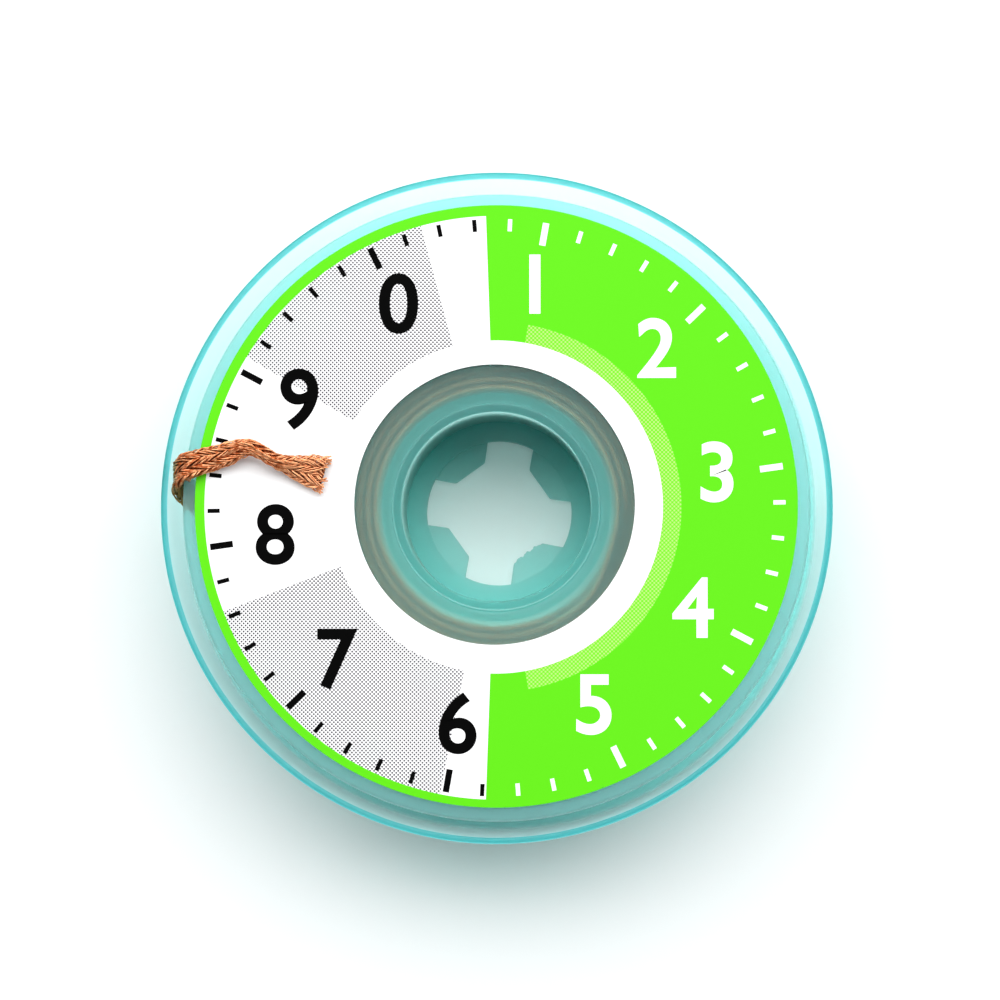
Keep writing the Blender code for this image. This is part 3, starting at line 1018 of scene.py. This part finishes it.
    def _add_number(self, shape: Shape, text: str, angle: float) -> None:
        """Add one upright number to an ink layer.

        Args:
            shape: The ink layer.
            text: The number.
            angle: Its direction from the axis.
        """
        curve = bpy.data.curves.new("number", "FONT")
        curve.body = text
        curve.size = self.number_height / self.font_height
        curve.align_x = "CENTER"
        curve.align_y = "CENTER"
        holder = bpy.data.objects.new("number", curve)
        flat = bpy.data.meshes.new_from_object(holder)
        figure = bmesh.new()
        figure.from_mesh(flat)
        bmesh.ops.remove_doubles(figure, verts=figure.verts, dist=self.font_join * curve.size)
        self._embolden(figure, self.number_weight)
        figure.to_mesh(flat)
        figure.free()
        centre = level_direction(angle) * self.number_radius
        centre.z = self.bottom + self.thickness + self.ink_lift
        flat.transform(Matrix.Translation(centre))
        shape.from_mesh(flat)
        bpy.data.objects.remove(holder)
        bpy.data.curves.remove(curve)
        bpy.data.meshes.remove(flat)

    @staticmethod
    def _embolden(figure: Shape, weight: float) -> None:
        """Make a flat figure bolder by moving its outline outwards.

        Args:
            figure: The figure, facing up.
            weight: How far its outline moves.
        """
        outwards: dict[bmesh.types.BMVert, list[Vector]] = {}
        for edge in figure.edges:
            if len(edge.link_loops) == 1:
                loop = edge.link_loops[0]
                along = (loop.link_loop_next.vert.co - loop.vert.co).normalized()
                for vertex in edge.verts:
                    outwards.setdefault(vertex, []).append(Vector((along.y, -along.x, 0.0)))
        for vertex, (first, second, *_) in outwards.items():
            vertex.co += (first + second) * weight / max(1.0 + first.dot(second), 0.5)


@dataclass(frozen=True)
class Unevenness:
    """How unevenly the wires of the free end lie, in millimetres where nothing else is said."""

    seed: int = 7
    bundle_end: tuple[float, float] = (-0.4, 0.3)      # past the cut end
    wire_end: tuple[float, float] = (-0.12, 0.14)      # past its bundle's end
    splay: float = 0.25              # how far such an end may point aside
    drift: float = 0.011             # sideways, as a share of the way round the braid
    waves: float = 1.9               # radians in each millimetre
    lift: tuple[float, float] = (0.75, 1.15)           # over or under, in wire diameters
    loose: float = 0.05
    stray_chance: float = 0.16
    stray: tuple[float, float] = (0.05, 0.17)
    stray_to_end: tuple[float, float] = (0.6, 12.0)
    stray_reach: float = 0.6
    pattern_start: float = 50.0


@dataclass
class WickBraid:
    """The whole copper braid, from its inner end on the hub to its cut free end."""

    width: float = 1.5 * MM
    thickness: float = 0.4 * MM
    real_length: float = 1.5
    layer_pitch: float = 0.55 * MM
    layers: int = 5
    columns: int = 5
    shift_share: float = 0.08        # of a turn, in which the braid moves over to the next column
    winding_inner_radius: float = 7.62 * MM
    winding_bottom: float = 1.05 * MM
    winding_clearance: float = 0.05 * MM
    last_turn_clearance: float = 0.1 * MM
    lid_underside: float = 8.6 * MM
    lid_thickness: float = 1.0 * MM
    lid_radius: float = 20.55 * MM
    last_turn: float = 0.85
    last_turn_places: int = 15
    stretch_places: int = 6
    fold_angle: float = math.radians(175.3)
    fold_route_mm: tuple[tuple[float, float, float, float, tuple[float, float, float]], ...] = (
        # distance in from the lid's edge and along it, height as a share of the lid's thickness
        # and in millimetres above that, and the width's direction: outwards, along and up
        (1.20, -1.35, 0.0, -0.28, (0.47, 0.88, 0.00)),
        (0.30, -0.74, 0.0, -0.26, (0.45, 0.89, -0.10)),
        (-0.30, -0.21, 0.0, 0.18, (0.22, 0.92, -0.35)),
        (-0.44, 0.23, 0.5, 0.12, (-0.07, 0.90, -0.40)),
        (-0.29, 0.65, 1.0, 0.08, (-0.23, 0.92, -0.25)),
        (0.22, 1.02, 1.0, 0.38, (-0.33, 0.94, -0.05)),
        (1.27, 1.42, 1.0, 0.44, (-0.36, 0.93, 0.00)),
        (2.54, 1.89, 1.0, 0.60, (-0.38, 0.92, 0.05)),
        (3.55, 2.37, 1.0, 0.82, (-0.32, 0.91, 0.20)),
        (4.24, 2.53, 1.0, 0.98, (-0.02, 0.85, 0.50)),
        (4.96, 2.28, 1.0, 1.04, (0.27, 0.57, 0.77)),
        (5.90, 1.83, 1.0, 0.98, (0.25, 0.62, 0.74)),
        (7.03, 1.54, 1.0, 0.82, (0.17, 0.82, 0.52)),
        (8.05, 1.36, 1.0, 0.64, (0.14, 0.95, 0.25)),
        (9.17, 1.15, 1.0, 0.52, (0.17, 0.98, 0.06)),
    )
    route_steps: int = 4
    wire_route_steps: int = 16
    sections_per_turn: int = 48
    carriers: int = 8                # bundles of wire that run each way round the braid
    wires_per_carrier: int = 4
    wire_diameter: float = 0.1 * MM
    turns_per_metre: float = 105.0   # of one carrier round the braid
    wire_spacing: float = 0.1 * MM
    wire_pitch: float = 1.04         # from one wire to the next, in wire diameters
    wire_sides: int = 5
    crossing: float = 1.6            # how quickly a wire goes from under the others to over them
    side_lift: float = 0.15          # how far it lifts sideways, as a share of its place
    unevenness: Unevenness = Unevenness()
    visible_length: float = 21.0 * MM
    ribbon_sides: int = 12
    ribbon_start: float = 0.02       # on its section, as a share of the way round
    ribbon_size: float = 1.08        # of the flat braid, where no single wires lie round it
    ribbon_inside: float = 0.5       # and how much smaller it is inside them
    ribbon_blend: float = 2.0 * MM
    spread_mm: tuple[tuple[float, float, float], ...] = (
        # distance from the cut end, and how much wider and thicker the braid is there
        (0.0, 1.55, 1.0),
        (0.8, 1.38, 1.0),
        (1.8, 1.02, 1.05),
        (2.7, 0.68, 1.15),
        (3.6, 0.52, 1.15),
        (4.8, 0.52, 1.15),
        (5.3, 0.58, 1.15),
        (6.0, 0.78, 1.1),
        (7.0, 0.9, 1.05),
        (8.4, 1.0, 1.0),
        (9.8, 1.06, 1.0),
        (14.0, 1.06, 1.0),
        (16.5, 1.0, 1.0),
    )
    packed_thickness: float = 1.28   # of the wound turns, which fill the space between layers
    packed_blend: int = 12           # stations over which that begins

    @property
    def turn_radius(self) -> float:
        """Radius of the last part turn, on top of the full layers."""
        full = self.winding_inner_radius + self.layers * self.layer_pitch
        return full + self.last_turn_clearance + self.thickness / 2.0

    def fold_route(self) -> list[Station]:
        """Return the stations from the lid's underside to the braid's cut end."""
        outward = level_direction(self.fold_angle)
        clockwise = level_direction(self.fold_angle - math.pi / 2.0)
        route = []
        for inward, along, level, above, width in self.fold_route_mm:
            height = self.lid_underside + level * self.lid_thickness + above * MM
            radius = self.lid_radius - inward * MM
            place = outward * radius + clockwise * (along * MM) + UP * height
            route.append(Station(place, clockwise * width[1] - outward * width[0] + UP * width[2]))
        return route

    def leaving_angle(self, target: Vector) -> float:
        """Return the angle at which the braid leaves the winding for this level place."""
        return math.atan2(target.y, target.x) + math.acos(self.turn_radius / target.length)

    def wound_route(self, fold_start: Vector) -> list[Station]:
        """Lay out the last part turn and the stretch from it to the fold.

        Args:
            fold_start: The first place of the fold.

        Returns:
            The stations of both.
        """
        top = self.winding_bottom + self.columns * self.width
        target = Vector((fold_start.x, fold_start.y, 0.0))
        leaving_angle = self.leaving_angle(target)
        route = []
        for index in range(self.last_turn_places):
            share = 1.0 - index / self.last_turn_places
            direction = level_direction(leaving_angle + math.tau * self.last_turn * share)
            place = direction * self.turn_radius + UP * (top - self.width / 2.0)
            route.append(Station(place, UP.copy()))
        leaving = level_direction(leaving_angle) * self.turn_radius
        sideways = level_direction(leaving_angle) * -1.0
        for index in range(self.stretch_places):
            share = index / self.stretch_places
            lean = math.pi / 2.0 * (1.0 - eased(share))
            reach = (self.width * math.sin(lean) + self.thickness * math.cos(lean)) / 2.0
            height = self.lid_underside - self.winding_clearance - reach
            width = UP * math.sin(lean) + sideways * math.cos(lean)
            route.append(Station(leaving.lerp(target, share) + UP * height, width))
        return route

    def layer_route(self, end_angle: float) -> list[Station]:
        """Wind the full layers, up and down along the hub.

        In each layer the braid lies in one column for most of a turn and then moves over to the
        next. At the end of a layer it rises to the next one just before the turn below it moves
        over, so no turn passes through another.

        Args:
            end_angle: The angle at which the full layers end and the last part turn starts.

        Returns:
            The stations, from the inner end outwards.
        """
        layer_turns = self.columns - 2.0 * self.shift_share
        total = self.layers * layer_turns + self.shift_share
        inmost = self.winding_inner_radius + self.layer_pitch / 2.0
        rises = [self.layer_pitch] * (self.layers - 1)
        rises.append(self.turn_radius - inmost - sum(rises))
        route = []
        count = round(total * self.sections_per_turn)
        for index in range(count):
            turns = total * index / count
            radius = inmost
            column = 0.0
            for layer, rise in enumerate(rises):
                radius += rise * eased((turns - (layer + 1) * layer_turns) / self.shift_share)
                upward = 1.0 if layer % 2 == 0 else -1.0
                for move in range(self.columns - 1):
                    start = layer * layer_turns + 1.0 - self.shift_share + move
                    column += upward * eased((turns - start) / self.shift_share)
            angle = end_angle + math.tau * (total - turns)
            height = self.winding_bottom + (column + 0.5) * self.width
            route.append(Station(level_direction(angle) * radius + UP * height, UP.copy()))
        return route

    @staticmethod
    def smooth(route: Sequence[Station], steps: int) -> list[Station]:
        """Run a Catmull-Rom curve through the stations.

        Args:
            route: The stations.
            steps: Number of stations to make of each one.

        Returns:
            The finer stations.
        """
        last = len(route) - 1
        fine = []
        for index in range(last):
            around = [route[max(index - 1, 0)], route[index], route[index + 1],
                      route[min(index + 2, last)]]
            for step in range(steps):
                t = step / steps
                weights = (
                    (-t + 2.0 * t ** 2 - t ** 3) / 2.0,
                    (2.0 - 5.0 * t ** 2 + 3.0 * t ** 3) / 2.0,
                    (t + 4.0 * t ** 2 - 3.0 * t ** 3) / 2.0,
                    (t ** 3 - t ** 2) / 2.0,
                )
                place = sum((s.place * w for s, w in zip(around, weights)), Vector())
                across = sum((s.across * w for s, w in zip(around, weights)), Vector())
                fine.append(Station(place, across))
        fine.append(route[last])
        return fine

    @staticmethod
    def frames(route: Sequence[Station]) -> list[Frame]:
        """Square each station's width to the braid's direction.

        Args:
            route: The stations.

        Returns:
            For each: its place, unit width, unit normal and distance from the start.
        """
        frames = []
        distance = 0.0
        for index, station in enumerate(route):
            ahead = route[min(index + 1, len(route) - 1)].place
            behind = route[max(index - 1, 0)].place
            along = (ahead - behind).normalized()
            across = (station.across - along * station.across.dot(along)).normalized()
            if index:
                distance += (station.place - route[index - 1].place).length
            frames.append((station.place, across, along.cross(across), distance))
        return frames

    def spread_at(self, to_end: float) -> tuple[float, float]:
        """Find how the braid is spread or bunched up near its free end.

        Args:
            to_end: The distance from its cut end.

        Returns:
            How much wider and how much thicker it is there than a flat braid.
        """
        distance = max(to_end / MM, 0.0)
        for near, far in zip(self.spread_mm, self.spread_mm[1:]):
            if distance < far[0]:
                share = eased((distance - near[0]) / (far[0] - near[0]))
                return (near[1] + (far[1] - near[1]) * share,
                        near[2] + (far[2] - near[2]) * share)
        return self.spread_mm[-1][1:]

    def section_point(self, turn: float) -> tuple[float, float]:
        """Find a point on the flat braid's rounded section.

        Args:
            turn: How far round the section, as a share of it from 0 to 1.

        Returns:
            The offsets along the braid's width and thickness.
        """
        half_width = (self.width - self.wire_diameter) / 2.0
        half_thickness = (self.thickness - self.wire_diameter) / 2.0
        flat = 2.0 * (half_width - half_thickness)
        bend = math.pi * half_thickness
        distance = (turn % 1.0) * 2.0 * (flat + bend)
        side = 1.0
        if distance >= flat + bend:
            distance -= flat + bend
            side = -1.0
        if distance < flat:
            return side * (distance - flat / 2.0), -side * half_thickness
        angle = (distance - flat) / half_thickness - math.pi / 2.0
        return (side * (flat / 2.0 + half_thickness * math.cos(angle)),
                side * half_thickness * math.sin(angle))

    def build(self) -> list[bpy.types.Object]:
        """Build the braid as one flat cord, with its single wires where they show.

        Returns:
            The wound braid and the wires of its free end.
        """
        folded = self.fold_route()
        open_places = self.wound_route(folded[0].place) + folded
        target = Vector((folded[0].place.x, folded[0].place.y, 0.0))
        start_angle = self.leaving_angle(target) + math.tau * self.last_turn
        layers = self.layer_route(start_angle)
        route = layers + self.smooth(open_places, self.route_steps)
        braid = self._ribbon(route, len(layers))
        wires = self._wires(self.smooth(open_places, self.wire_route_steps))
        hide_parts("braid_coil", "braid_tail")
        return [braid, wires]

    def _ribbon(self, route: Sequence[Station], packed: int) -> bpy.types.Object:
        """Sweep the flat braid along its whole route.

        Args:
            route: The stations from the inner end to the cut end.
            packed: How many of them lie in the full layers.

        Returns:
            The ribbon, a little slimmer where single wires lie round it.
        """
        shape = bmesh.new()
        lay = shape.loops.layers.uv.new("along_braid")
        frames = self.frames(route)
        total = frames[-1][3]
        points = [self.section_point(corner / self.ribbon_sides + self.ribbon_start)
                  for corner in range(self.ribbon_sides)]
        around = [0.0]
        for here, after in zip(points, points[1:] + points[:1]):
            around.append(around[-1] + (Vector(after) - Vector(here)).length / MM)
        rings = []
        for index, (place, across, normal, distance) in enumerate(frames):
            to_end = total - distance
            wider, thicker = self.spread_at(to_end)
            slim = self.ribbon_size - self.ribbon_inside * eased(
                (self.visible_length - to_end) / self.ribbon_blend)
            tight = eased((packed - index) / self.packed_blend)
            thicker *= slim + (self.packed_thickness - self.ribbon_size) * tight
            rings.append([
                shape.verts.new(place + across * (a * wider * slim) + normal * (b * thicker))
                for a, b in points
            ])
        for index, faces in enumerate(skin_over(shape, rings)):
            here, there = frames[index][3] / MM, frames[index + 1][3] / MM
            for corner, face in enumerate(faces):
                near, far = around[corner:corner + 2]
                places = ((here, near), (here, far), (there, far), (there, near))
                for loop, uv in zip(face.loops, places):
                    loop[lay].uv = uv
        shape.faces.new(rings[0])
        shape.faces.new(rings[-1])
        finish = WovenCopper(wires_from=(total - self.visible_length) / MM)
        return finished_piece("wound_copper_braid", shape, finish.material(),
                              sharp_angle=60.0)

    def _wires(self, route: Sequence[Station]) -> bpy.types.Object:
        """Weave the single wires of the free end.

        Args:
            route: Fine stations that end at the cut end.

        Returns:
            The wires as one piece.
        """
        chance = random.Random(self.unevenness.seed)
        frames = self.frames(route)
        total = frames[-1][3]
        start = total - self.visible_length
        count = int(self.visible_length / self.wire_spacing)
        places = []
        cursor = 0
        for index in range(count + 1):
            distance = start + self.visible_length * index / count
            while cursor < len(frames) - 2 and frames[cursor + 1][3] < distance:
                cursor += 1
            near, far = frames[cursor], frames[cursor + 1]
            share = (distance - near[3]) / max(far[3] - near[3], 1e-9)
            places.append((near[0].lerp(far[0], share), near[1].lerp(far[1], share).normalized(),
                           near[2].lerp(far[2], share).normalized(), distance))
        shape = bmesh.new()
        lay = shape.loops.layers.uv.new("along_wire")
        for lean in Lean:
            for carrier in range(self.carriers):
                cut = chance.uniform(*self.unevenness.bundle_end) * MM
                for wire in range(self.wires_per_carrier):
                    self._add_wire(shape, lay, places, total, lean, carrier, wire, cut, chance)
        return finished_piece("braid_end_wires", shape, CopperWire().material(),
                              sharp_angle=80.0)

    def _add_wire(self, shape: Shape, lay: bmesh.types.BMLayerItem, places: Sequence[Frame],
                  total: float, lean: Lean, carrier: int, wire: int, cut: float,
                  chance: random.Random) -> None:
        """Add one wire, which runs round the braid over and under those that lean the other way.

        Args:
            shape: The shape of all wires.
            lay: The layer that holds the distance along each wire.
            places: The evenly spaced frames of the free end.
            total: The distance of the cut end.
            lean: The way in which the wire runs round.
            carrier: The number of its bundle.
            wire: Its number in the bundle.
            cut: How far its bundle reaches past the cut end.
            chance: The source of small irregularities.
        """
        section = 2.0 * (self.width - self.thickness) + math.pi * self.thickness
        middle = (self.wires_per_carrier - 1) / 2.0
        beside = (wire - middle) * self.wire_pitch * self.wire_diameter / section
        uneven = self.unevenness
        drift = chance.uniform(-uneven.drift, uneven.drift)
        swing = chance.uniform(0.0, math.tau)
        lift = self.wire_diameter * chance.uniform(*uneven.lift)
        loose = chance.uniform(0.0, uneven.loose) * MM
        is_stray = chance.random() < uneven.stray_chance
        stray = chance.uniform(*uneven.stray) * MM if is_stray else 0.0
        stray_at = total - chance.uniform(*uneven.stray_to_end) * MM
        points = []
        ribs = []
        for place, across, normal, distance in places:
            turn = carrier / self.carriers + beside + drift
            turn += lean.value * distance * self.turns_per_metre
            turn += uneven.drift * math.sin(distance / MM * uneven.waves + swing)
            a, b = self.section_point(turn)
            # over two bundles of the other lean and under the next two
            rib = math.cos(math.tau * (2.0 * self.carriers * turn - 0.5) / 4.0)
            over = lean.value * max(min(rib * self.crossing, 1.0), -1.0)
            rise = stray * math.exp(-((distance - stray_at) / (uneven.stray_reach * MM)) ** 2)
            out = Vector((a * self.side_lift, b)).normalized() * (lift * over + loose + rise)
            wider, thicker = self.spread_at(total - distance)
            points.append(place + across * (a * wider + out.x) + normal * (b * thicker + out.y))
            ribs.append(0.5 + 0.5 * over)
        tail = cut + chance.uniform(*uneven.wire_end) * MM
        if tail < 0.0:
            points = points[:len(points) + int(tail / self.wire_spacing)]
        else:
            heading = (points[-1] - points[-4]).normalized()
            heading += Vector([chance.uniform(-uneven.splay, uneven.splay) for _ in range(3)])
            points.append(points[-1] + heading * tail)
            ribs.append(1.0)
        self._add_tube(shape, lay, points, ribs, chance.uniform(0.0, uneven.pattern_start))

    def _add_tube(self, shape: Shape, lay: bmesh.types.BMLayerItem, points: Sequence[Vector],
                  ribs: Sequence[float], offset: float) -> None:
        """Add one thin round wire along these points.

        Args:
            shape: The shape that gets the wire.
            lay: The layer for the distance along it.
            points: The middle of the wire.
            ribs: How far on top of the others it lies at each, from 0 to 1.
            offset: Where its colour pattern starts, in millimetres.
        """
        radius = self.wire_diameter / 2.0
        rings = []
        distance = offset
        distances = []
        guide = Vector((0.31, 0.27, 0.91))    # any direction that no wire runs in
        for index, point in enumerate(points):
            ahead = points[min(index + 1, len(points) - 1)]
            behind = points[max(index - 1, 0)]
            along = (ahead - behind).normalized()
            guide = (guide - along * guide.dot(along)).normalized()
            other = along.cross(guide)
            if index:
                distance += (point - points[index - 1]).length / MM
            distances.append(distance)
            rings.append([
                shape.verts.new(point + (guide * math.cos(a) + other * math.sin(a)) * radius)
                for a in full_turn(self.wire_sides)
            ])
        for index, faces in enumerate(skin_over(shape, rings)):
            for face in faces:
                for loop, far in zip(face.loops, (0, 0, 1, 1)):
                    loop[lay].uv = (distances[index + far], ribs[index + far])
        shape.faces.new(rings[0])
        shape.faces.new(rings[-1])


@dataclass
class Studio:
    """The table, the soft light and the camera."""

    table_size: float = 3.0
    table_squares: int = 8
    table_colour: str = "#f4f6f6"
    table_cloud: float = 25.0 * MM
    table_shade: float = 0.985       # of the colour, in the clouds
    table_roughness: float = 0.7
    sky_colour: tuple[float, float, float, float] = (0.97, 0.985, 1.0, 1.0)
    sky_strength: float = 0.45
    key_place: tuple[float, float, float] = (0.03, 0.37, 0.45)
    key_size: tuple[float, float] = (1.8, 0.5)
    key_power: float = 8.9
    sensor_width: float = 36.0
    lens: float = 137.6
    camera_distance: float = 0.25
    camera_tilt: float = math.radians(3.2)
    camera_azimuth: float = math.radians(23.0)
    clipping: tuple[float, float] = (0.005, 20.0)
    aim: tuple[float, float, float] = (0.25 * MM, 0.44 * MM, 9.6 * MM)

    def build(self) -> None:
        """Set up the table, the light and the camera."""
        self._camera()
        self._table()
        self._lights()

    def _camera(self) -> None:
        """Place the camera almost straight above the lid, with +Y up in the picture."""
        data = bpy.data.cameras.new("camera")
        data.sensor_width = self.sensor_width
        data.lens = self.lens
        data.clip_start, data.clip_end = self.clipping
        camera = bpy.data.objects.new("camera", data)
        back = Vector((
            math.sin(self.camera_tilt) * math.sin(self.camera_azimuth),
            -math.sin(self.camera_tilt) * math.cos(self.camera_azimuth),
            math.cos(self.camera_tilt),
        ))
        right = Vector((0.0, 1.0, 0.0)).cross(back).normalized()
        turned = Matrix((right, back.cross(right), back)).transposed().to_4x4()
        spot = Vector(self.aim) + back * self.camera_distance
        camera.matrix_world = Matrix.Translation(spot) @ turned
        bpy.context.scene.collection.objects.link(camera)
        bpy.context.scene.camera = camera
        LOG.info("camera: %.1f mm lens, %.0f mm away", self.lens, self.camera_distance / MM)

    def _table(self) -> None:
        """Lay the pale table top, matt laminate that looks even and takes soft shadows."""
        material, tree = empty_material("matt_white_laminate_table")
        place = add_node(tree, "ShaderNodeTexCoord").outputs["Object"]
        cloud = add_node(tree, "ShaderNodeTexNoise", {
            "Vector": place, "Scale": 1.0 / self.table_cloud, "Detail": 2.0,
        })
        tint = linear_colour(self.table_colour)
        shade = [channel * self.table_shade for channel in tint[:3]]
        skin = add_node(tree, "ShaderNodeBsdfPrincipled", {
            "Base Color": mixed_colour(tree, cloud.outputs["Fac"], tint, (*shade, 1.0)),
            "Roughness": self.table_roughness,
        })
        add_node(tree, "ShaderNodeOutputMaterial", {"Surface": skin.outputs[0]})
        shape = bmesh.new()
        bmesh.ops.create_grid(shape, x_segments=self.table_squares,
                              y_segments=self.table_squares, size=self.table_size / 2.0)
        mesh = bpy.data.meshes.new("table")
        shape.to_mesh(mesh)
        shape.free()
        mesh.materials.append(material)
        table = bpy.data.objects.new("table", mesh)
        bpy.context.scene.collection.objects.link(table)
        LOG.info("table: %.1f m across", self.table_size)

    def _lights(self) -> None:
        """Add an even white surround and one wide soft box beyond the part."""
        world = bpy.data.worlds.new("studio")
        world.use_nodes = True
        world.node_tree.nodes.clear()
        surround = add_node(world.node_tree, "ShaderNodeBackground", {
            "Color": self.sky_colour, "Strength": self.sky_strength,
        })
        add_node(world.node_tree, "ShaderNodeOutputWorld", {"Surface": surround.outputs[0]})
        bpy.context.scene.world = world
        data = bpy.data.lights.new("soft_box", "AREA")
        data.shape = "RECTANGLE"
        data.size, data.size_y = self.key_size
        data.energy = self.key_power
        lamp = bpy.data.objects.new("soft_box", data)
        lamp.location = self.key_place
        lamp.rotation_euler = Vector(self.key_place).to_track_quat("Z", "Y").to_euler()
        bpy.context.scene.collection.objects.link(lamp)
        bpy.context.scene.view_settings.view_transform = "Standard"
        LOG.info("light: surround %.2f, soft box %.1f W", self.sky_strength, self.key_power)


def main() -> None:
    """Build the studio and every piece of the part."""
    logging.basicConfig(level=logging.INFO, format="%(message)s")
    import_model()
    Studio().build()
    pieces = WickBraid().build()
    for assembly in (CaseDish(), CaseLid(), PaperLabel()):
        pieces += assembly.build()
    LOG.info("%d pieces in all", len(pieces))


if __name__ == "__main__":
    main()
